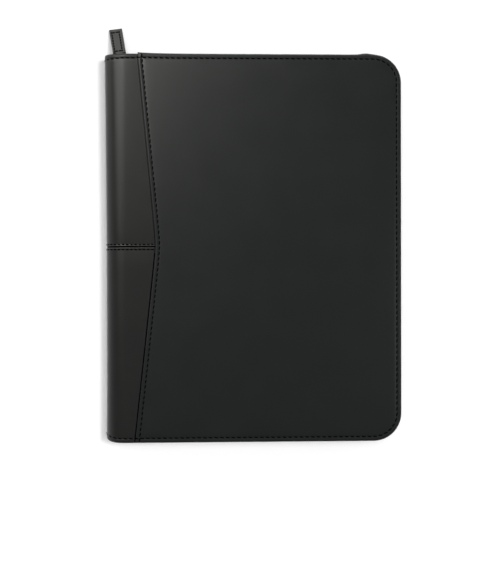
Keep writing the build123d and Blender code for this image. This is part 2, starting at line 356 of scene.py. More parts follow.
def sewn_rows(lap):
    """A panel's two stitch rows as (x, y, inset, lapped), and how many points each adds at an end."""
    ring, run_size = panel_ring(stitch_inset, lap)
    across_lap = (0.5, 1.2, 2.0, 2.8)
    over_rim = (2.6, 3.0, 3.4)
    high = top - stitch_inset
    ends = []
    for sign in (1, -1):
        edge_end = []
        for inset in across_lap:
            x, y = pushed_out(lap(sign * high) + inset, sign * high, stitch_inset, lap)
            edge_end.append((x, y, inset, ease((stitch_inset - inset) / lap_end_reach)))
        lap_end = []
        for inset in over_rim:
            y = sign * (top - inset)
            place = pushed_out(lap(y) + lap_reach(stitch_inset), y, stitch_inset, lap)
            lap_end.append((*place, inset, 0.0))
        ends.append((edge_end, lap_end))
    (edge_top, lap_top), (edge_bottom, lap_bottom) = ends
    ring = [(x, y, stitch_inset, lapped) for x, y, lapped in ring]
    edge_row = edge_top + ring[:run_size] + edge_bottom[::-1]
    lap_row = lap_bottom + ring[run_size:] + lap_top[::-1]
    return (edge_row, lap_row), (len(across_lap), len(over_rim))


def padding_lift(inset):
    """How far the padding lifts the front leather above its board, at a distance from the edge."""
    return crown_height * (1 - math.exp(-max(0.0, inset - crown_start) / crown_reach))


def lengths_along(points):
    """Length along a line of points, at each point."""
    lengths = [0.0]
    for first, second in zip(points, points[1:]):
        lengths.append(lengths[-1] + math.dist(first, second))
    return lengths


def even_pitch(length, pitch):
    """The pitch nearest the wanted one that divides a length evenly."""
    return length / max(1, round(length / pitch))


def leatherette(name, dark, light, roughness, grain, grain_depth):
    """Coated cloth with a fine embossed grain: near black, satin, faintly mottled, slightly wavy.

    The real grain is about a third of a millimetre; it is drawn coarser, so that it shows.
    """
    mottle_size = 18.0
    wave_size = 11.0
    wave_depth = 0.015
    material, tree = new_material(name)
    place = node(tree, "ShaderNodeTexCoord").outputs["Object"]
    mottle = node(tree, "ShaderNodeTexNoise", {
        "Vector": place, "Scale": 1 / (mottle_size * MM), "Detail": 5.0,
    })
    tint = node(tree, "ShaderNodeMix", {
        "Factor": mottle.outputs["Fac"], "A": linear(dark), "B": linear(light),
    }, data_type="RGBA")
    pebbles = node(tree, "ShaderNodeTexNoise", {"Vector": place, "Scale": 1 / (grain * MM), "Detail": 2.0})
    waves = node(tree, "ShaderNodeTexNoise", {"Vector": place, "Scale": 1 / (wave_size * MM), "Detail": 2.0})
    grain_bump = node(tree, "ShaderNodeBump", {
        "Height": pebbles.outputs["Fac"], "Strength": 1.0, "Distance": grain_depth * MM,
    })
    bump = node(tree, "ShaderNodeBump", {
        "Height": waves.outputs["Fac"], "Strength": 1.0, "Distance": wave_depth * MM,
        "Normal": grain_bump.outputs["Normal"],
    })
    gloss = node(tree, "ShaderNodeMapRange", {
        "Value": mottle.outputs["Fac"], "From Min": 0.3, "From Max": 0.7,
        "To Min": roughness - 0.01, "To Max": roughness + 0.02,
    })
    surface = node(tree, "ShaderNodeBsdfPrincipled", {
        "Base Color": tint.outputs["Result"], "Roughness": gloss.outputs["Result"],
        "IOR": 1.5, "Normal": bump.outputs["Normal"],
    })
    node(tree, "ShaderNodeOutputMaterial", {"Surface": surface.outputs["BSDF"]})
    return material


def leather_depth(inset, depths, lapped, phase, lies_down):
    """How deep a point of a panel is, pressed in under each stitch and flat where the case rests on it."""
    nearness = max(0.0, 1 - abs(inset - stitch_inset) / groove_half_width)
    depth = between(*depths, lapped) + stitch_dimple * math.cos(phase) * nearness
    return max(floor_gap, depth + back_groove * nearness) if lies_down else depth - padding_lift(inset)


panel_leather = leatherette("panel_leatherette", "151817", "181b1a", 0.29, 0.9, 0.007)
panel_laps = {"front": front_lap, "back": straight_lap}
panel_rows = {}
for side, lap in panel_laps.items():
    lies_down = side == "back"
    sewn, starts = sewn_rows(lap)
    phases = []
    for line, start, wanted_pitch in zip(sewn, starts, (stitch_pitch, lap_pitch)):
        along = lengths_along([point[:2] for point in line])
        pitch = even_pitch(along[-1], wanted_pitch)
        phases += [2 * math.pi * length / pitch for length in along[start:-start]]
    rings = []
    for inset, *depths in panel_section:
        ring = []
        for (x, y, lapped), phase in zip(panel_ring(inset, lap)[0], phases):
            ring.append((x, y, thickness - leather_depth(inset, depths, lapped, phase, lies_down)))
        rings.append(ring)
    rim = rings[-1]
    middle_x = (lap(0) + right) / 2
    for share in field_shares:
        reach = between(middle_x - lap(0), panel_section[-1][0], share)
        height = thickness - leather_depth(reach, panel_section[-1][1:], 0.0, 0.0, lies_down)
        rings.append([(between(middle_x, x, share), y * share, height) for x, y, z in rim])
    points, faces = loft(rings, "open")
    size = len(rim)
    for fan_start, hub_height in ((0, rings[0][0][2]), (len(points) - size, rings[-1][0][2])):
        hub = len(points)
        points.append((middle_x, 0.0, hub_height))
        faces += [(fan_start + index, fan_start + (index + 1) % size, hub) for index in range(size)]
    rows = []
    for line in sewn:
        row = []
        for x, y, inset, lapped in line:
            depth = section_depth(inset, lapped) - thread_lift
            depth = max(depth, thread_height / 2 + floor_gap) if lies_down else depth - padding_lift(inset)
            row.append((x, y, thickness - depth))
        rows.append(row)
    if lies_down:
        points = [(x, y, thickness - z) for x, y, z in points]
        rows = [[(x, y, thickness - z) for x, y, z in row] for row in rows]
    panel_rows[side] = rows
    cover = make_piece(f"{side}_cover_leather", points, faces, panel_leather)
    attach(cover, f"{side}_cover")
    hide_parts(f"{side}_panel")


# Topstitching of the cover panels. Black bonded polyester thread, one lockstitch row round three
# edges of each panel and one along its lap, lying in the groove that the sewing pressed.
bead_bluntness = 0.6


def bead_tree():
    """Nodes that lay beads, such as stitches or coil turns, along a path at one pitch."""
    tree = bpy.data.node_groups.new("bead_row", "GeometryNodeTree")
    face = tree.interface
    face.new_socket("Path", in_out="INPUT", socket_type="NodeSocketGeometry")
    for label in ("Pitch", "Length", "Across", "Upright", "Slant"):
        face.new_socket(label, in_out="INPUT", socket_type="NodeSocketFloat")
    face.new_socket("Finish", in_out="INPUT", socket_type="NodeSocketMaterial")
    face.new_socket("Beads", in_out="OUTPUT", socket_type="NodeSocketGeometry")
    given = node(tree, "NodeGroupInput").outputs
    curve = node(tree, "GeometryNodeMeshToCurve", {"Mesh": given["Path"]})
    upright = node(tree, "GeometryNodeSetCurveNormal", {"Curve": curve.outputs["Curve"]}, mode="Z_UP")
    spots = node(tree, "GeometryNodeCurveToPoints", {
        "Curve": upright.outputs["Curve"], "Length": given["Pitch"],
    }, mode="LENGTH")
    ball = node(tree, "GeometryNodeMeshUVSphere", {"Segments": 8, "Rings": 7, "Radius": 0.5})
    size = node(tree, "ShaderNodeCombineXYZ", {
        "X": given["Across"], "Y": given["Upright"], "Z": given["Length"],
    })
    position = node(tree, "GeometryNodeInputPosition").outputs["Position"]
    place = node(tree, "ShaderNodeSeparateXYZ", {"Vector": position})
    doubled = node(tree, "ShaderNodeMath", {0: place.outputs["Z"], 1: 2.0}, operation="MULTIPLY")
    away = node(tree, "ShaderNodeMath", {0: doubled.outputs["Value"]}, operation="ABSOLUTE")
    fuller = node(tree, "ShaderNodeMath", {0: away.outputs["Value"], 1: bead_bluntness}, operation="POWER")
    halved = node(tree, "ShaderNodeMath", {0: fuller.outputs["Value"], 1: 0.5}, operation="MULTIPLY")
    sign = node(tree, "ShaderNodeMath", {0: place.outputs["Z"]}, operation="SIGN")
    stretched = node(tree, "ShaderNodeMath", {
        0: halved.outputs["Value"], 1: sign.outputs["Value"],
    }, operation="MULTIPLY")
    blunt = node(tree, "GeometryNodeSetPosition", {
        "Geometry": ball.outputs["Mesh"],
        "Position": node(tree, "ShaderNodeCombineXYZ", {
            "X": place.outputs["X"], "Y": place.outputs["Y"], "Z": stretched.outputs["Value"],
        }).outputs["Vector"],
    })
    bead = node(tree, "GeometryNodeTransform", {
        "Geometry": blunt.outputs["Geometry"], "Scale": size.outputs["Vector"],
    })
    smooth = node(tree, "GeometryNodeSetShadeSmooth", {"Geometry": bead.outputs["Geometry"]})
    lean = node(tree, "FunctionNodeAxisAngleToRotation", {"Axis": (0.0, 1.0, 0.0), "Angle": given["Slant"]})
    turned = node(tree, "FunctionNodeRotateRotation", {
        "Rotation": spots.outputs["Rotation"], "Rotate By": lean.outputs["Rotation"],
    }, rotation_space="LOCAL")
    laid = node(tree, "GeometryNodeInstanceOnPoints", {
        "Points": spots.outputs["Points"], "Instance": smooth.outputs["Geometry"],
        "Rotation": turned.outputs["Rotation"],
    })
    real = node(tree, "GeometryNodeRealizeInstances", {"Geometry": laid.outputs["Instances"]})
    painted = node(tree, "GeometryNodeSetMaterial", {
        "Geometry": real.outputs["Geometry"], "Material": given["Finish"],
    })
    node(tree, "NodeGroupOutput", {"Beads": painted.outputs["Geometry"]})
    return tree


bead_nodes = bead_tree()


def lay_beads(name, lines, pitch, length, across, upright, slant, finish):
    """Lays beads along lines of points in millimetres and keeps them as one plain mesh."""
    points = []
    edges = []
    for line in lines:
        edges += [(len(points) + index, len(points) + index + 1) for index in range(len(line) - 1)]
        points += [[value * MM for value in point] for point in line]
    path = bpy.data.meshes.new(name + "_path")
    path.from_pydata(points, edges, [])
    carrier = bpy.data.objects.new(name + "_path", path)
    bpy.context.scene.collection.objects.link(carrier)
    modifier = carrier.modifiers.new("row", "NODES")
    modifier.node_group = bead_nodes
    values = {
        "Pitch": pitch * MM, "Length": length * MM, "Across": across * MM, "Upright": upright * MM,
        "Slant": math.radians(slant), "Finish": finish,
    }
    for socket in bead_nodes.interface.items_tree:
        if socket.in_out == "INPUT" and socket.name in values:
            modifier[socket.identifier] = values[socket.name]
    shown = carrier.evaluated_get(bpy.context.evaluated_depsgraph_get())
    mesh = bpy.data.meshes.new_from_object(shown)
    mesh.name = name
    carrier.modifiers.remove(modifier)
    bpy.data.objects.remove(carrier)
    bpy.data.meshes.remove(path)
    piece = bpy.data.objects.new(name, mesh)
    bpy.context.scene.collection.objects.link(piece)
    return piece


def spun_thread(name, dark, light):
    """Twisted polyester thread: matt black with fine lighter plies."""
    ply = 0.5
    material, tree = new_material(name)
    place = node(tree, "ShaderNodeTexCoord").outputs["Object"]
    plies = node(tree, "ShaderNodeTexNoise", {"Vector": place, "Scale": 1 / (ply * MM), "Detail": 3.0})
    tint = node(tree, "ShaderNodeMix", {
        "Factor": plies.outputs["Fac"], "A": linear(dark), "B": linear(light),
    }, data_type="RGBA")
    surface = node(tree, "ShaderNodeBsdfPrincipled", {
        "Base Color": tint.outputs["Result"], "Roughness": 0.9, "Specular IOR Level": 0.05,
    })
    node(tree, "ShaderNodeOutputMaterial", {"Surface": surface.outputs["BSDF"]})
    return material


# Its matt black also paints the shade in the wrap's seam valley and in the gap that the wrap's lower piece
# leaves at each lap.
black_thread_and_painted_shade = spun_thread("black_thread_and_painted_shade", "010101", "040404")
stitch_share = 0.74
stitch_slant = 7.0
for side, rows in panel_rows.items():
    for kind, line, pitch in zip(("edge", "lap"), rows, (stitch_pitch, lap_pitch)):
        row = lay_beads(
            f"{side}_{kind}_stitches", [line], pitch, pitch * stitch_share, thread_width, thread_height,
            stitch_slant, black_thread_and_painted_shade)
        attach(row, f"{side}_cover")


# Spine wrap. One softer piece of black leatherette above the cross seam and one below it go round
# the spine from under the front lap to under the back lap, hemmed at both ends. Each is made as a front
# and a back half that meet along the middle of the spine.
wrap_step = 0.5
wrap_radius = thickness / 2 - wrap_step
wrap_sheet = 0.9
wrap_roll_lead = 5.5
spine_centre = left + wrap_radius
roll_start = spine_centre + wrap_roll_lead
middle = thickness / 2
half_signs = {"upper": 1, "lower": -1}
cross_seam = 1.6
cross_stitch = {"upper": 1.95, "lower": 2.3}
wrap_under_lap = 5.0
wrap_pillow = 0.25
wrap_crease_top = (0.2, 0.6)
wrap_crease_bottom = (0.8, 1.2)
crease_change = -60.0
crease_change_reach = 160.0
wrap_bed = 0.02
wrap_squareness = 2.4
hem_inset = 3.7
hem_groove = 0.18
hem_pitch = 4.4
hem_row_dip = 0.9
hem_dip_turn = 80
hem_start = 3.9
cross_groove = 0.1
cross_start = 1.9
cross_pitch = 3.3
spine_flare = 0.7
spine_upper_puff = 0.3
spine_upper_reach = 100.0
spine_puff = 0.2
spine_puff_start = 100
spine_puff_turn = 60
pillow_turn = 60
roll_first = 90
roll_steps = 60
flat_steps = 40
crease_columns = range(8, 16)
crease_band = 1.6
# Width beside the lap in which the lower wrap's faces are painted shade.
painted_shade_gap_width = 1.0
wrap_field_rows = 24

# How far each end of the wrap draws in on the spine, the roll angle where that starts, and the turn
# that it takes, in degrees.
wrap_dips = {"upper": (0.4, 90, 35), "lower": (3.0, 110, 75)}

# Section of the hem at an end of the wrap, and of the edge at the cross seam: how far from the end,
# and how high above the wrap's face.
hem_section = (
    (6.0, -0.9), (6.0, -2.0), (3.5, -2.15), (1.4, -2.1), (0.5, -1.85), (0.1, -1.45), (0.0, -1.0),
    (0.1, -0.6), (0.4, -0.32), (0.9, -0.13), (1.6, -0.03), (2.4, 0.02), (3.2, -0.06),
    (hem_inset, -hem_groove), (4.2, -0.08), (4.8, 0.0), (6.5, 0.05),
)
cross_lips = {
    "upper": ((1.5, -0.06), (1.2, 0.02), (0.9, 0.1), (0.74, 0.07)),
    "lower": ((1.85, -0.04), (1.5, 0.07), (1.2, 0.03), (0.8, -0.05)),
}
cross_valley = ((0.58, -0.2), (0.36, -0.6), (0.1, -0.86), (0.0, -0.88))
cross_sections = {
    half: ((inset + 2.9, -0.04), (inset + 1.9, -0.06), (inset + 0.8, -0.09), (inset, -cross_groove))
    + cross_lips[half] + cross_valley
    for half, inset in cross_stitch.items()
}
valley_start = len(cross_sections["upper"]) - len(cross_valley)
# Rows of the seam's valley whose faces are painted shade.
painted_shade_valley_rows = range(valley_start, valley_start + len(cross_valley) - 1)
valley_floor = -0.5


def wrap_columns():
    """The wrap's line from under the lap to the middle of the spine: flat shares, then roll angles."""
    columns = [("flat", index / flat_steps) for index in range(flat_steps)]
    return columns + [("roll", roll_first + 90 * index / roll_steps) for index in range(roll_steps + 1)]


def flat_place(share, edge):
    """Where a flat column of the wrap is; the columns stand close together at the crease beside the lap."""
    first, last = crease_columns.start / flat_steps, crease_columns.stop / flat_steps
    if share < first:
        return between(edge + wrap_under_lap, edge, share / first)
    if share < last:
        return edge - crease_band * (share - first) / (last - first)
    return between(edge - crease_band, roll_start, (share - last) / (1 - last))


def wrap_end(column, half):
    """How far from the case's middle an end of the wrap is; the leather draws in where it turns the spine."""
    kind, amount = column
    if kind == "flat":
        return top
    depth, start, turn = wrap_dips[half]
    return top - depth * ease((amount - start) / turn)


def wrap_point(column, y, height, lap):
    """A point on the front half of the wrap, height above its face."""
    kind, amount = column
    if kind == "flat":
        edge = lap(y)
        x = flat_place(amount, edge)
        pillow = wrap_pillow * ease((edge + wrap_under_lap - x) / (edge + wrap_under_lap - roll_start))
        if height > -wrap_sheet:
            upward = ease((y - crease_change) / crease_change_reach)
            deep, wide = [between(*pair, upward) for pair in zip(wrap_crease_bottom, wrap_crease_top)]
            height = max(height - deep * (1 - ease((edge - x) / wide)), wrap_bed - wrap_sheet)
        return (x, y, middle + wrap_radius + pillow + height)
    angle = math.radians(amount)
    pillow = wrap_pillow * (1 - ease((amount - roll_first) / pillow_turn))
    puff = spine_puff + spine_flare * (abs(y) / top) ** 3 + spine_upper_puff * ease(y / spine_upper_reach)
    along, up = math.cos(angle), math.sin(angle)
    squared = (abs(along) ** wrap_squareness + up ** wrap_squareness) ** (-1 / wrap_squareness)
    proud = pillow + puff * ease((amount - spine_puff_start) / spine_puff_turn) + height
    x = roll_start + ((wrap_radius + wrap_roll_lead) * squared + proud) * along
    return (x, y, middle + (wrap_radius * squared + proud) * up)


def wrap_section(column, half):
    """The points round the section of the upper or lower piece, as (y, height above the wrap's face)."""
    sign = half_signs[half]
    end = wrap_end(column, half)
    deepest = -wrap_sheet if column[0] == "flat" else valley_floor
    rows = [(sign * (end - distance), height) for distance, height in hem_section]
    seam_rows = []
    for distance, height in cross_sections[half]:
        seam_rows.append((cross_seam + sign * distance, max(height, deepest)))
    field_start, field_height = rows[-1]
    shares = [index / wrap_field_rows for index in range(1, wrap_field_rows)]
    rows += [(between(field_start, seam_rows[0][0], share), field_height) for share in shares]
    rows += seam_rows
    rows += [(between(seam_rows[-1][0], rows[0][0], share), -wrap_sheet) for share in shares]
    return rows


def flip_to_back(points):
    """Turns points of the front half over to the back half."""
    return [(x, y, thickness - z) for x, y, z in points]


def sunk_to_back(row):
    """Turns a stitch row over to the back half, clear of what the case rests on."""
    return [(x, y, max(z, thread_height / 2 + floor_gap)) for x, y, z in flip_to_back(row)]


def fold_line(side):
    """Where a bending piece leaves its cover, and where it reaches the middle of the spine, in metres."""
    lead = 1.0
    ends = [(spine_centre + lead, 0.0, middle + wrap_radius), (left, 0.0, middle + lead)]
    if side == "back":
        ends = flip_to_back(ends)
    return [[value * MM for value in end] for end in ends]


wrap_leather = leatherette("wrap_leatherette", "171817", "1a1a19", 0.30, 1.1, 0.009)

# The valley of the cross seam and the gap that the lower piece leaves at the lap lie in shadow; their
# faces are painted shade, in the thread's matt black.
painted_shade_gap_columns = crease_columns[:round(painted_shade_gap_width / crease_band * len(crease_columns))]
seam_start = len(hem_section) + wrap_field_rows - 1
columns = wrap_columns()
for side, lap in panel_laps.items():
    start, end = fold_line(side)
    for half in half_signs:
        rings = []
        for column in columns:
            ring = [wrap_point(column, y, height, lap) for y, height in wrap_section(column, half)]
            rings.append(flip_to_back(ring) if side == "back" else ring)
        wrap = make_piece(f"{side}_wrap_leather_{half}", *loft(rings), wrap_leather)
        # A second slot of matt black paints shade on the seam's valley and on the lower piece's gap at the
        # lap.
        wrap.data.materials.append(black_thread_and_painted_shade)
        for face in wrap.data.polygons:
            column, row = divmod(face.index, len(rings[0]))
            in_painted_shade_gap = half == "lower" and row < seam_start and column in painted_shade_gap_columns
            face.material_index = 1 if in_painted_shade_gap or row - seam_start in painted_shade_valley_rows else 0
        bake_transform(wrap)
        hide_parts(f"{side}_wrap_{half}", f"spine_wrap_{half}")
    hem_rows = []
    cross_rows = []
    for half, sign in half_signs.items():
        hem_row = []
        cross_row = []
        for column in columns:
            turned = 0.0 if column[0] == "flat" else ease((column[1] - roll_first) / hem_dip_turn)
            hem_y = sign * (wrap_end(column, half) - hem_inset - hem_row_dip * turned)
            hem_row.append(wrap_point(column, hem_y, thread_lift - hem_groove, lap))
            cross_y = cross_seam + sign * cross_stitch[half]
            cross_row.append(wrap_point(column, cross_y, thread_lift - cross_groove, lap))
        for row, rows, row_start in ((hem_row, hem_rows, hem_start), (cross_row, cross_rows, cross_start)):
            row = [(x, y, z) for x, y, z in row if x < lap(y) - row_start]
            rows.append(sunk_to_back(row) if side == "back" else row)
    for kind, rows, pitch in (("hem", hem_rows, hem_pitch), ("cross", cross_rows, cross_pitch)):
        row = lay_beads(
            f"{side}_{kind}_stitches", rows, pitch, pitch * stitch_share, thread_width, thread_height,
            stitch_slant, black_thread_and_painted_shade)
        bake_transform(row)


# Spine stiffener. A strip of thin board, bent to the spine and cut short enough for the wrap's hems, in
# two halves like the wrap's and the lining's.
stiffener_radius = wrap_radius - wrap_sheet
stiffener_board = 0.7
stiffener_end = 158.0
stiffener_angles = [math.radians(angle) for angle in range(120, 181, 5)]
for side in panel_laps:
    outer = [(stiffener_radius, angle) for angle in stiffener_angles]
    inner = [(stiffener_radius - stiffener_board, angle) for angle in reversed(stiffener_angles)]
    rings = []
    for y in (stiffener_end, -stiffener_end):
        ring = [
            (spine_centre + radius * math.cos(angle), y, middle + radius * math.sin(angle))
            for radius, angle in outer + inner
        ]
        rings.append(flip_to_back(ring) if side == "back" else ring)
    stiffener = make_piece(f"{side}_stiffener_board", *loft(rings), greyboard)
    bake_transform(stiffener)
    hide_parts("spine_stiffener")


# Lining. Black woven polyester cloth is glued over the inside of each board, with its ends turned over
# the board's edges, and runs on round the inside of the spine, where the front and back cloths meet.
lining_corner = 26.0
lining_inset = 5.0
lining_face = 4.0
lining_sheet = 0.5
lining_roll = 9.3
lining_roll_end = 160.5
lining_lip = 1.4
lip_width = 0.9
lip_slope = 0.1
lining_rows = 16
lining_corner_steps = 12
lining_flat_steps = 24
lining_roll_steps = 40
lining_ease_steps = 16

# A wave texture repeats after this length at a scale of 1.
wave_repeat = math.pi / 10


def woven_cloth(name, dark, light, thread, roughness):
    """Plain weave: matt, each thread passing over and under the next. Drawn coarser than the real one."""
    material, tree = new_material(name)
    place = node(tree, "ShaderNodeTexCoord").outputs["Object"]
    band = wave_repeat / (thread * MM)
    warp = node(tree, "ShaderNodeTexWave", {"Vector": place, "Scale": band}, bands_direction="X")
    weft = node(tree, "ShaderNodeTexWave", {"Vector": place, "Scale": band}, bands_direction="Y")
    crossing = node(tree, "ShaderNodeTexChecker", {"Vector": place, "Scale": 1 / (thread * MM)})
    weave = node(tree, "ShaderNodeMix", {
        "Factor": crossing.outputs["Fac"], "A": warp.outputs["Fac"], "B": weft.outputs["Fac"],
    })
    tint = node(tree, "ShaderNodeMix", {
        "Factor": weave.outputs["Result"], "A": linear(dark), "B": linear(light),
    }, data_type="RGBA")
    bump = node(tree, "ShaderNodeBump", {
        "Height": weave.outputs["Result"], "Strength": 0.7, "Distance": 0.15 * MM,
    })
    surface = node(tree, "ShaderNodeBsdfPrincipled", {
        "Base Color": tint.outputs["Result"], "Roughness": roughness, "Normal": bump.outputs["Normal"],
        "Sheen Weight": 0.15, "Sheen Roughness": 0.5,
    })
    node(tree, "ShaderNodeOutputMaterial", {"Surface": surface.outputs["BSDF"]})
    return material


def lining_columns():
    """The lining's line from the fore edge to the middle of the spine: (x, height, end)."""
    bend = lining_corner - lining_inset
    flat_end = right - lining_corner
    columns = []
    for index in range(lining_corner_steps + 1):
        angle = math.pi / 2 * (1 - index / lining_corner_steps)
        end = top - lining_corner + bend * math.cos(angle)
        columns.append((flat_end + bend * math.sin(angle), lining_face, end))
    for index in range(1, lining_flat_steps + 1):
        x = between(flat_end, spine_centre, index / lining_flat_steps)
        columns.append((x, lining_face, top - lining_inset))
    for index in range(1, lining_roll_steps + 1):
        angle = math.radians(roll_first + 90 * index / lining_roll_steps)
        eased = ease(index / lining_ease_steps)
        reach = between(middle - lining_face, lining_roll, eased)
        end = between(top - lining_inset, lining_roll_end, eased)
        columns.append((spine_centre + reach * math.cos(angle), middle - reach * math.sin(angle), end))
    return columns


lining_cloth = woven_cloth("lining_cloth", "0c0c0d", "161617", 1.2, 0.85)
columns = lining_columns()
shares = [row / lining_rows for row in range(lining_rows + 1)]
for side in ("back", "front"):
    rings = []
    for index, (x, height, end) in enumerate(columns):
        before = columns[max(0, index - 1)]
        after = columns[min(len(columns) - 1, index + 1)]
        slope = math.atan2(after[1] - before[1], before[0] - after[0])
        out = (-math.sin(slope), -math.cos(slope))
        lip = [(end, lining_lip), (end - lip_width, lining_lip)]
        flat_end = end - lip_width - lip_slope
        rows = lip + [(between(flat_end, -flat_end, share), lining_sheet) for share in shares]
        rows += [(-y, deep) for y, deep in reversed(lip)]
        face = [(x, y, height) for y, deep in rows]
        under = [(x + out[0] * deep, y, height + out[1] * deep) for y, deep in reversed(rows)]
        ring = face + under
        rings.append(flip_to_back(ring) if side == "front" else ring)
    lining = make_piece(f"{side}_lining_cloth", *loft(rings), lining_cloth)
    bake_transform(lining)
    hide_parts(f"{side}_lining", "spine_lining")


# Pockets inside the front cover. One large document pocket of black leatherette is sewn to the
# lining on three sides, and three stepped card pockets are sewn on it; each top edge is a rolled hem.
hem_row_share = 1.6
sewn_top_gap = 1.0


def sewn_lines(low, high, radii, inset, height):
    """A line down one side of a pocket, along its bottom and up the other side, and one along its hem."""
    plan = rounded_plan(low, high, radii, inset)
    corner = len(plan) // 4
    right_top = (high[0] - inset, high[1] - sewn_top_gap)
    left_top = (low[0] + inset, high[1] - sewn_top_gap)
    sides = [right_top] + plan[corner:3 * corner] + [left_top]
    hem_y = high[1] - inset * hem_row_share
    hem = [(low[0] + inset, hem_y), (high[0] - inset, hem_y)]
    return [[(x, y, height) for x, y in line] for line in (sides, hem)]


pocket_leather = leatherette("pocket_leatherette", "131414", "191a1a", 0.38, 0.9, 0.02)
pocket_thread = {
    "pitch": 3.4, "length": 2.5, "across": 0.7, "upright": 0.55, "slant": 6.0, "finish": black_thread_and_painted_shade,
}
pocket_stitch_inset = 2.2
pocket_thread_lift = 0.05
pocket_bed = 0.02
pockets = [("document_pocket", (2.0, 17.0, 2.0, 2.0))]
pockets += [(f"card_pocket_{number}", (2.0, 2.0, 2.0, 2.0)) for number in (1, 2, 3)]
lines = []
for node_name, radii in pockets:
    low, high = node_box(node_name)
    back, face = high[2] - pocket_bed, low[2]
    section = (
        (0.7, back), (0.15, back - 0.06), (0.0, back - 0.28), (0.1, face + 0.12), (0.4, face - 0.02),
        (1.0, face - 0.08), (1.6, face - 0.02), (pocket_stitch_inset, face + 0.06), (2.8, face - 0.02),
        (3.6, face - 0.06), (4.6, face), (5.4, face),
    )
    pocket = flat_piece(f"{node_name}_leather", low, high, radii, section, pocket_leather)
    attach(pocket, "front_cover")
    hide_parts(node_name)
    lines += sewn_lines(low, high, radii, pocket_stitch_inset, face - pocket_thread_lift)
row = lay_beads("pocket_stitches", lines, **pocket_thread)
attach(row, "front_cover")


# Pad sleeve. A flat pocket of the same black leatherette, with a rolled edge, is sewn to the back lining
# on three sides; the pad's card back slides into it.
sleeve_low, sleeve_high = node_box("pad_sleeve")
sleeve_radii = (2.0, 14.0, 2.0, 2.0)
sleeve_clearance = 0.04
sleeve_stitch_inset = 1.4
sleeve_face = sleeve_high[2] - sleeve_clearance
sleeve_section = (
    (0.8, sleeve_low[2] + 0.05), (0.2, sleeve_low[2] + 0.05), (0.0, sleeve_low[2] + 0.3),
    (0.05, sleeve_face - 0.5), (0.35, sleeve_face - 0.1), (0.9, sleeve_face), (1.5, sleeve_face - 0.08),
    (2.1, sleeve_face), (2.6, sleeve_face), (3.2, sleeve_face),
)
sleeve = flat_piece(
    "pad_sleeve_leather", sleeve_low, sleeve_high, sleeve_radii, sleeve_section, pocket_leather)
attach(sleeve, "back_cover")
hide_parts("pad_sleeve")
sides = sewn_lines(sleeve_low, sleeve_high, sleeve_radii, sleeve_stitch_inset, sleeve_face)[0]
row = lay_beads("pad_sleeve_stitches", [sides], **pocket_thread)
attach(row, "back_cover")


# Writing pad. Ruled white paper on a brown card back, glued and bound along its top edge with a
# folded strip of coated paper.
sheet_low, sheet_high = node_box("pad_sheets")
sheet_corner = 1.0
sheet_layers = 22
sheet_offset = 0.22
rule_pitch = 7.1
rule_width = 0.35
rule_header = 32.0
margin_line = 31.0
binding_low, binding_high = node_box("pad_binding")
binding_sheet = 0.25
binding_underside = 8.0
binding_steps = 24


def ruled_paper():
    """Uncoated white paper: matt, faintly fibrous, printed with pale blue rules and a red margin."""
    fibre = 1.5
    material, tree = new_material("ruled_paper")
    coords = node(tree, "ShaderNodeTexCoord")
    place = node(tree, "ShaderNodeSeparateXYZ", {"Vector": coords.outputs["Object"]})
    facing = node(tree, "ShaderNodeSeparateXYZ", {"Vector": coords.outputs["Normal"]})
    fibres = node(tree, "ShaderNodeTexNoise", {
        "Vector": coords.outputs["Object"], "Scale": 1 / (fibre * MM), "Detail": 4.0,
    })
    paper = node(tree, "ShaderNodeMix", {
        "Factor": fibres.outputs["Fac"], "A": linear("e8e6dc"), "B": linear("f0eee6"),
    }, data_type="RGBA")
    upward = node(tree, "ShaderNodeMath", {0: facing.outputs["Z"], 1: 0.9}, operation="GREATER_THAN")
    rows = node(tree, "ShaderNodeMath", {0: place.outputs["Y"], 1: rule_pitch * MM}, operation="DIVIDE")
    phase = node(tree, "ShaderNodeMath", {0: rows.outputs["Value"]}, operation="FRACT")
    rule = node(tree, "ShaderNodeMath", {
        0: phase.outputs["Value"], 1: 0.5, 2: rule_width / rule_pitch / 2,
    }, operation="COMPARE")
    below = node(tree, "ShaderNodeMath", {
        0: place.outputs["Y"], 1: (sheet_high[1] - rule_header) * MM,
    }, operation="LESS_THAN")
    ruled = node(tree, "ShaderNodeMath", {
        0: rule.outputs["Value"], 1: below.outputs["Value"],
    }, operation="MULTIPLY")
    printed = node(tree, "ShaderNodeMath", {
        0: ruled.outputs["Value"], 1: upward.outputs["Value"],
    }, operation="MULTIPLY")
    margin = node(tree, "ShaderNodeMath", {
        0: place.outputs["X"], 1: (sheet_low[0] + margin_line) * MM, 2: rule_width / 2 * MM,
    }, operation="COMPARE")
    lined = node(tree, "ShaderNodeMath", {
        0: margin.outputs["Value"], 1: upward.outputs["Value"],
    }, operation="MULTIPLY")
    blue = node(tree, "ShaderNodeMix", {
        "Factor": printed.outputs["Value"], "A": paper.outputs["Result"], "B": linear("a9bfd6"),
    }, data_type="RGBA")
    red = node(tree, "ShaderNodeMix", {
        "Factor": lined.outputs["Value"], "A": blue.outputs["Result"], "B": linear("d99a94"),
    }, data_type="RGBA")
    surface = node(tree, "ShaderNodeBsdfPrincipled", {
        "Base Color": red.outputs["Result"], "Roughness": 0.85, "Specular IOR Level": 0.3,
    })
    node(tree, "ShaderNodeOutputMaterial", {"Surface": surface.outputs["BSDF"]})
    return material


random.seed(7)
section = []
layer = (sheet_high[2] - sheet_low[2]) / sheet_layers
for index in range(sheet_layers):
    inset = random.uniform(0.0, sheet_offset)
    base = sheet_low[2] + index * layer
    section += [(inset, base), (inset, base + layer * 0.7), (inset + 0.12, base + layer * 0.9)]
section += [(0.3, sheet_high[2]), (0.8, sheet_high[2])]
sheets = flat_piece("pad_paper_stack", sheet_low, sheet_high, (sheet_corner,) * 4, section, ruled_paper())
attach(sheets, "back_cover")
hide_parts("pad_sheets")

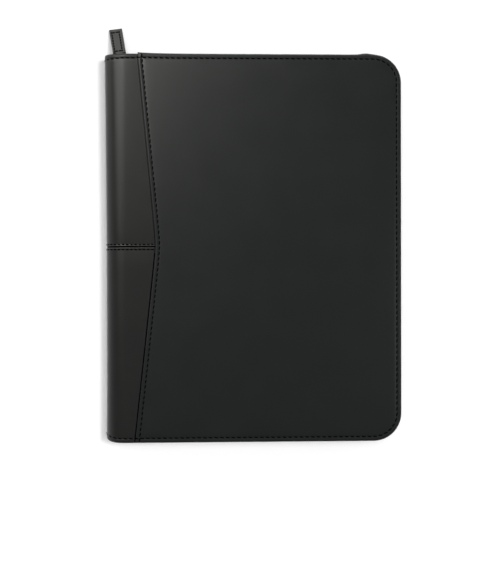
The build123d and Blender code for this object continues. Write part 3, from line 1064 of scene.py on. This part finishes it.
brown_card = fibre_board("brown_card", "7d6a50", "978263", 1.2, 0.8)
dress("pad_backing", brown_card)
binding_paper = fibre_board("coated_binding_paper", "5a1a17", "66201c", 2.2, 0.45)
binding_fold = (
    (binding_low[1], binding_high[2] - 0.12), (binding_low[1] + 0.4, binding_high[2] - 0.04),
    (binding_high[1] - 1.4, binding_high[2]), (binding_high[1] - 0.5, binding_high[2] - 0.2),
    (binding_high[1] - 0.05, binding_high[2] - 0.8), (binding_high[1], binding_high[2] - 1.6),
    (binding_high[1], binding_low[2] + 0.4), (binding_high[1] - 0.1, binding_low[2] + 0.05),
)
inner_fold = []
for y, z in reversed(binding_fold):
    inwards = 0.0 if y < binding_low[1] + 1 else 0.9 * binding_sheet
    down = binding_sheet if z > binding_underside else 0.0
    inner_fold.append((y - inwards, z - down))
rings = []
for index in range(binding_steps + 1):
    x = between(binding_low[0], binding_high[0], index / binding_steps)
    rings.append([(x, y, z) for y, z in list(binding_fold) + inner_fold])
binding = make_piece("pad_binding_strip", *loft(rings), binding_paper)
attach(binding, "back_cover")
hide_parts("pad_binding")


# Pen loop. A band of black knitted elastic, with ribs along it, is bent to a closed loop for one pen and
# sewn to the lining beside the pad.
loop_low, loop_high = node_box("pen_loop")
loop_band = 0.8
loop_corner = 4.4
elastic_rib = 1.4


def ribbed_elastic():
    """Knitted elastic: matt black, with ribs that run round the loop. Drawn coarser than the real one."""
    material, tree = new_material("ribbed_elastic")
    place = node(tree, "ShaderNodeTexCoord").outputs["Object"]
    ribs = node(tree, "ShaderNodeTexWave", {
        "Vector": place, "Scale": wave_repeat / (elastic_rib * MM), "Distortion": 0.4,
    }, bands_direction="Y")
    tint = node(tree, "ShaderNodeMix", {
        "Factor": ribs.outputs["Fac"], "A": linear("070707"), "B": linear("171717"),
    }, data_type="RGBA")
    bump = node(tree, "ShaderNodeBump", {
        "Height": ribs.outputs["Fac"], "Strength": 0.8, "Distance": 0.2 * MM,
    })
    surface = node(tree, "ShaderNodeBsdfPrincipled", {
        "Base Color": tint.outputs["Result"], "Roughness": 0.8, "Normal": bump.outputs["Normal"],
        "Sheen Weight": 0.2, "Sheen Roughness": 0.4,
    })
    node(tree, "ShaderNodeOutputMaterial", {"Surface": surface.outputs["BSDF"]})
    return material


def loop_ring(y, inset):
    """The band's outline round the loop, drawn in by inset from its outer face, at a place along it."""
    plan = rounded_plan((loop_low[0], loop_low[2]), (loop_high[0], loop_high[2]), (loop_corner,) * 4, inset)
    return [(x, y, z) for x, z in plan]


band_profile = ((0.0, 0.35), (0.12, 0.12), (0.4, 0.0), (0.68, 0.12), (loop_band, 0.35))
rings = []
for inset, pulled in band_profile:
    rings.append(loop_ring(loop_low[1] + pulled, inset))
for share in (0.25, 0.5, 0.75):
    rings.append(loop_ring(between(loop_low[1], loop_high[1], share), loop_band))
for inset, pulled in reversed(band_profile):
    rings.append(loop_ring(loop_high[1] - pulled, inset))
for share in (0.75, 0.5, 0.25):
    rings.append(loop_ring(between(loop_low[1], loop_high[1], share), 0.0))
pen_loop = make_piece("pen_loop_elastic", *loft(rings, "joined"), ribbed_elastic())
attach(pen_loop, "back_cover")
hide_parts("pen_loop")


# Zip. Two woven tapes are sewn under the rims of the covers, each with a row of nylon coil along its
# free edge, held by a line of stitches. A metal stop is clamped on the far end of each row, where the
# tape is cut on a slant.
tape_radius = 26.0
tape_step = 2.6
coil_pitch = 1.35
coil_width = 2.2
coil_height = 2.6
coil_inset = 4.5
coil_share = 0.78
coil_slant = 12.0
tape_free_edge = 13.6
tape_bend = 20.2
tape_past_stop = 0.6
tape_thread = {
    "pitch": 2.4, "length": 1.9, "across": 0.5, "upright": 0.5, "slant": 0.0, "finish": black_thread_and_painted_shade,
}
tape_thread_inset = 4.15
tape_thread_level = 16.9
tack_inset = 1.6
tack_gap = 1.6

# Section of a tape, from its free edge up, out under the rim and back down: (inset, height).
tape_section = (
    (4.2, tape_free_edge), (4.2, tape_bend), (4.0, 20.5), (3.6, 20.62), (1.5, 20.66), (1.4, 20.9),
    (1.5, 21.14), (4.3, 21.14), (4.7, 20.95), (4.8, 20.6), (4.8, tape_free_edge),
)
tape_cloth = woven_cloth("zip_tape_weave", "070708", "121213", 0.9, 0.8)


def drawn_nylon():
    """Drawn nylon coil: black, smooth and slightly glossy, with faint draw marks."""
    draw_mark = 0.6
    material, tree = new_material("nylon_coil")
    place = node(tree, "ShaderNodeTexCoord").outputs["Object"]
    marks = node(tree, "ShaderNodeTexNoise", {"Vector": place, "Scale": 1 / (draw_mark * MM), "Detail": 2.0})
    gloss = node(tree, "ShaderNodeMapRange", {"Value": marks.outputs["Fac"], "To Min": 0.3, "To Max": 0.5})
    surface = node(tree, "ShaderNodeBsdfPrincipled", {
        "Base Color": linear("0d0d0e"), "Roughness": gloss.outputs["Result"], "IOR": 1.53,
    })
    node(tree, "ShaderNodeOutputMaterial", {"Surface": surface.outputs["BSDF"]})
    return material


coil_nylon = drawn_nylon()
for side in ("front", "back"):
    row_low, row_high = node_box(f"zip_coil_{side}")
    start_x = row_low[0]
    tape_end = node_box(f"zip_stop_{side}")[0][0] - tape_past_stop
    runs = []
    for inset, height in tape_section:
        finish = tape_end if height == tape_free_edge else start_x
        runs.append(edge_run(inset, start_x, finish, tape_step, tape_radius))
    rings = []
    for station in zip(*runs):
        ring = [(x, y, height) for (x, y), (inset, height) in zip(station, tape_section)]
        rings.append(flip_to_back(ring) if side == "back" else ring)
    tape = make_piece(f"zip_tape_cloth_{side}", *loft(rings), tape_cloth)
    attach(tape, f"{side}_cover")
    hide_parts(f"zip_tape_{side}")
    coil_level = (row_low[2] + row_high[2]) / 2
    coil_run = edge_run(coil_inset, start_x, start_x, tape_step, tape_radius)
    coil_line = [(x, y, coil_level) for x, y in coil_run]
    coil = lay_beads(
        f"zip_coil_turns_{side}", [coil_line], coil_pitch, coil_pitch * coil_share, coil_width, coil_height,
        coil_slant, coil_nylon)
    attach(coil, f"{side}_cover")
    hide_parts(f"zip_coil_{side}")
    sewn = edge_run(tape_thread_inset, start_x + tack_inset, start_x + tack_inset, tape_step, tape_radius)
    lines = [[(x, y, tape_thread_level) for x, y in sewn]]
    for x, y in (sewn[0], sewn[-1]):
        lines.append([(x, y, tape_thread_level + tack_gap), (x, y, tape_bend)])
    if side == "back":
        lines = [flip_to_back(line) for line in lines]
    row = lay_beads(f"zip_tape_stitches_{side}", lines, **tape_thread)
    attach(row, f"{side}_cover")


# Slider and stops. Die-cast zinc with a dark gunmetal plating, rubbed a little brighter in use; the
# edges of the castings are rounded.
casting_rounding = 0.25
weld_distance = 0.001
flat_angle = 0.01
sharp_angle = 0.6
castings = {"slider_body": "zip_slider", "zip_stop_front": "front_cover", "zip_stop_back": "back_cover"}


def gunmetal():
    """Plated zinc: dark metal, satin, with small cast unevenness."""
    worn_patch = 2.5
    material, tree = new_material("gunmetal_plating")
    place = node(tree, "ShaderNodeTexCoord").outputs["Object"]
    worn = node(tree, "ShaderNodeTexNoise", {"Vector": place, "Scale": 1 / (worn_patch * MM), "Detail": 4.0})
    tint = node(tree, "ShaderNodeMix", {
        "Factor": worn.outputs["Fac"], "A": linear("38393b"), "B": linear("57585a"),
    }, data_type="RGBA")
    gloss = node(tree, "ShaderNodeMapRange", {"Value": worn.outputs["Fac"], "To Min": 0.28, "To Max": 0.42})
    bump = node(tree, "ShaderNodeBump", {
        "Height": worn.outputs["Fac"], "Strength": 0.3, "Distance": 0.05 * MM,
    })
    surface = node(tree, "ShaderNodeBsdfPrincipled", {
        "Base Color": tint.outputs["Result"], "Metallic": 1.0, "Roughness": gloss.outputs["Result"],
        "Normal": bump.outputs["Normal"],
    })
    node(tree, "ShaderNodeOutputMaterial", {"Surface": surface.outputs["BSDF"]})
    return material


def rounded_casting(node_name, material):
    """A copy of a CAD node with its sharp edges rounded, to ride in its place."""
    shaped = bmesh.new()
    shaped.from_mesh(frame["nodes"][node_name].data)
    bmesh.ops.remove_doubles(shaped, verts=shaped.verts, dist=weld_distance * MM)
    bmesh.ops.dissolve_limit(shaped, angle_limit=flat_angle, verts=shaped.verts, edges=shaped.edges)
    sharp = [edge for edge in shaped.edges if edge.is_manifold and edge.calc_face_angle() > sharp_angle]
    bmesh.ops.bevel(
        shaped, geom=sharp, offset=casting_rounding * MM, segments=3, profile=0.5, affect="EDGES",
        clamp_overlap=True)
    points = [tuple(vertex.co / MM) for vertex in shaped.verts]
    shaped.verts.index_update()
    faces = [tuple(vertex.index for vertex in face.verts) for face in shaped.faces]
    shaped.free()
    return make_piece(f"{node_name}_casting", points, faces, material)


zinc = gunmetal()
for node_name, body in castings.items():
    casting = rounded_casting(node_name, zinc)
    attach(casting, body)
    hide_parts(node_name)


# Pull tab. A strip of the same leatherette, folded round the bar of the slider's crown, glued back
# to back and stitched in a long rectangle.
swing = [joint for joint in frame["joints"] if joint["name"] == "pull_swing"][0]
crown_bar = [value / MM for value in swing["pos_m"]]
pull_length = 26.7
pull_width = 11.0
pull_neck = 5.5
pull_neck_end = 1.4
pull_flare = 1.2
pull_sheet = 0.9
pull_loop = 1.3
pull_shoulder = 2.6
pull_shift = 0.6
pull_skew = math.radians(9.4)
pull_row_left = 1.75
pull_row_right = 2.85
pull_row_tip = 3.4
pull_row_near = 4.0
pull_thread = {
    "pitch": 2.75, "length": 2.2, "across": 1.4, "upright": 0.8, "slant": 0.0, "finish": black_thread_and_painted_shade,
}
pull_thread_lift = 0.05
pull_row_slack = 0.01
pull_row_steps = 12
pull_floor_gap = 0.15
pull_droop = math.asin((middle - pull_sheet - pull_floor_gap) / pull_length)
pull_join = 5.0
pull_flat_steps = 24
pull_open_steps = 12
pull_turn_steps = 16


def pull_point(across, out, height):
    """A point of the pull tab: across it, out along it from the crown bar, and above its middle."""
    skew = ease((out - pull_loop) / pull_shoulder)
    turn = skew * pull_skew
    x = across * math.cos(turn) - out * math.sin(turn) + pull_shift * skew
    along = across * math.sin(turn) + out * math.cos(turn)
    y = along * math.cos(pull_droop) + height * math.sin(pull_droop)
    z = -along * math.sin(pull_droop) + height * math.cos(pull_droop)
    return (crown_bar[0] + x, crown_bar[1] + y, crown_bar[2] + z)


def pull_rise(out):
    """How far a layer is from the tab's middle: shut along the tab, open where it goes round the bar."""
    layer = pull_sheet / 2
    return between(layer, pull_loop + layer, ease((pull_join - out) / pull_join))


def pull_path():
    """The strip's middle line from one tip round the bar to the other, as (out, height, facing)."""
    layer = pull_sheet / 2
    loop = pull_loop + layer
    upper = []
    for index in range(pull_flat_steps):
        upper.append((between(pull_length, pull_join, index / pull_flat_steps), layer, 0.0))
    for index in range(pull_open_steps + 1):
        out = between(pull_join, 0.0, index / pull_open_steps)
        upper.append((out, pull_rise(out), 0.0))
    angles = [math.pi * index / pull_turn_steps for index in range(1, pull_turn_steps)]
    turn = [(-loop * math.sin(angle), loop * math.cos(angle), angle) for angle in angles]
    lower = [(out, -height, math.pi) for out, height, facing in reversed(upper)]
    return upper + turn + lower


# The strap's colour is lighter than the covers' as a painted sheen; the real tab is the same black
# leatherette.
pull_leather_painted_sheen = leatherette("pull_leatherette_painted_sheen", "20211f", "282926", 0.32, 0.9, 0.012)
pull_edge = ((1.0, 0.0), (0.93, 0.55), (0.7, 0.88), (0.3, 1.0), (0.0, 1.0))
pull_rounding = 0.5
rings = []
for out, height, facing in pull_path():
    half_width = between(pull_neck, pull_width, ease((out - pull_neck_end) / pull_flare)) / 2
    ring = []
    for side_across, side_up, order in ((1, 1, 1), (-1, 1, -1), (-1, -1, 1), (1, -1, -1)):
        for corner_x, corner_z in pull_edge[::order]:
            across = side_across * (half_width - pull_rounding * (1 - corner_x))
            lift = side_up * corner_z * pull_sheet / 2
            ring.append(pull_point(across, out - lift * math.sin(facing), height + lift * math.cos(facing)))
    rings.append(ring)
strap = make_piece("pull_strap", *loft(rings), pull_leather_painted_sheen)
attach(strap, "pull")
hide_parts("pull_tab")
row_left = pull_row_left - pull_width / 2
row_right = pull_width / 2 - pull_row_right
near = pull_row_near
far = pull_length - pull_row_tip
across_gap = (row_right - row_left - pull_thread["pitch"]) / 2 - pull_row_slack
runs = [((across, near), (across, far + pull_row_slack)) for across in (row_left, row_right)]
runs += [((row_left + across_gap, out), (row_right - across_gap, out)) for out in (near, far)]
lines = []
for face in (1, -1):
    for first, second in runs:
        line = []
        for index in range(pull_row_steps + 1):
            across, out = [between(*pair, index / pull_row_steps) for pair in zip(first, second)]
            height = pull_rise(out) + pull_sheet / 2 + pull_thread_lift
            line.append(pull_point(across, out, face * height))
        lines.append(line)
row = lay_beads("pull_stitches", lines, **pull_thread)
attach(row, "pull")


# Floor and light. A white table top under even daylight, a little stronger from the right, which gives
# the short shadow at the spine; the soft boxes round the case show only as the leatherette's sheen.
floor_reach = 40.0
floor_mesh = bpy.data.meshes.new("floor")
floor_signs = ((-1, -1), (1, -1), (1, 1), (-1, 1))
floor_corners = [(x * floor_reach, y * floor_reach, 0.0) for x, y in floor_signs]
floor_mesh.from_pydata(floor_corners, [], [(0, 1, 2, 3)])
floor = bpy.data.objects.new("floor", floor_mesh)
bpy.context.scene.collection.objects.link(floor)
table_top, tree = new_material("white_table_top")
surface = node(tree, "ShaderNodeBsdfPrincipled", {
    "Base Color": linear("ffffff"), "Roughness": 0.8, "Specular IOR Level": 0.2,
})
node(tree, "ShaderNodeOutputMaterial", {"Surface": surface.outputs["BSDF"]})
floor_mesh.materials.append(table_top)


def hang(name, lamp, place, sheen):
    """Hangs a lamp that looks at the middle of the case, either as a sheen or as plain light."""
    holder = bpy.data.objects.new(name, lamp)
    holder.location = place
    holder.rotation_euler = Vector(place).to_track_quat("Z", "Y").to_euler()
    holder.visible_glossy = sheen
    holder.visible_diffuse = not sheen
    bpy.context.scene.collection.objects.link(holder)


def soft_sun(name, place, strength, spread):
    """Even light from one direction, as soft as its spread in degrees."""
    lamp = bpy.data.lights.new(name, "SUN")
    lamp.energy = strength
    lamp.angle = math.radians(spread)
    hang(name, lamp, place, False)


def soft_box(name, place, width, height, brightness):
    """A lit panel that shows in the leatherette; a white surface is as bright as 1."""
    lamp = bpy.data.lights.new(name, "AREA")
    lamp.shape = "RECTANGLE"
    lamp.size = width
    lamp.size_y = height
    lamp.energy = brightness * math.pi * width * height
    lamp.color = (1.0, 0.99, 0.94)
    hang(name, lamp, place, True)


soft_sun("side_light", (1.15, 0.35, 2.6), 1.06, 12)
soft_sun("overhead_light", (0.2, 0.2, 3.4), 1.76, 40)
soft_box("sheen_box", (-0.6, 1.02, 3.0), 0.36, 0.36, 22.0)
soft_box("spine_box", (-1.40, 1.0, 2.46), 0.8, 1.55, 3.8)
soft_box("rim_box", (-2.23, 1.05, 0.93), 1.1, 1.3, 0.9)
soft_box("end_box", (0.3, 2.5, 1.6), 2.6, 2.0, 1.5)
soft_box("edge_box", (1.3, -0.2, 2.6), 0.5, 0.5, 2.0)

world = bpy.data.worlds.new("studio")
world.use_nodes = True
tree = world.node_tree
tree.nodes.clear()
direction = node(tree, "ShaderNodeTexCoord").outputs["Generated"]
looking = node(tree, "ShaderNodeSeparateXYZ", {"Vector": direction})
lower = node(tree, "ShaderNodeMapRange", {
    "Value": looking.outputs["Z"], "From Min": 0.2, "From Max": 0.8, "To Min": 0.8, "To Max": 0.1,
})
leftward = node(tree, "ShaderNodeMath", {0: looking.outputs["X"], 1: -0.4}, operation="MULTIPLY")
upper_left = node(tree, "ShaderNodeMath", {
    0: looking.outputs["Y"], 1: 0.9, 2: leftward.outputs["Value"],
}, operation="MULTIPLY_ADD")
slope = node(tree, "ShaderNodeMapRange", {
    "Value": upper_left.outputs["Value"], "From Min": -0.8, "From Max": 0.9, "To Min": 0.5, "To Max": 1.1,
})
glow = node(tree, "ShaderNodeMath", {
    0: lower.outputs["Result"], 1: slope.outputs["Result"],
}, operation="MULTIPLY")
horizon = node(tree, "ShaderNodeMapRange", {
    "Value": looking.outputs["Z"], "From Min": 0.02, "From Max": 0.14, "To Min": 1.0, "To Max": 0.0,
})
strength = node(tree, "ShaderNodeMath", {
    0: glow.outputs["Value"], 1: horizon.outputs["Result"],
}, operation="MAXIMUM")
sky = node(tree, "ShaderNodeBackground", {"Color": (1, 1, 1, 1), "Strength": strength.outputs["Value"]})
node(tree, "ShaderNodeOutputWorld", {"Surface": sky.outputs["Background"]})
bpy.context.scene.world = world
bpy.context.scene.view_settings.view_transform = "Standard"
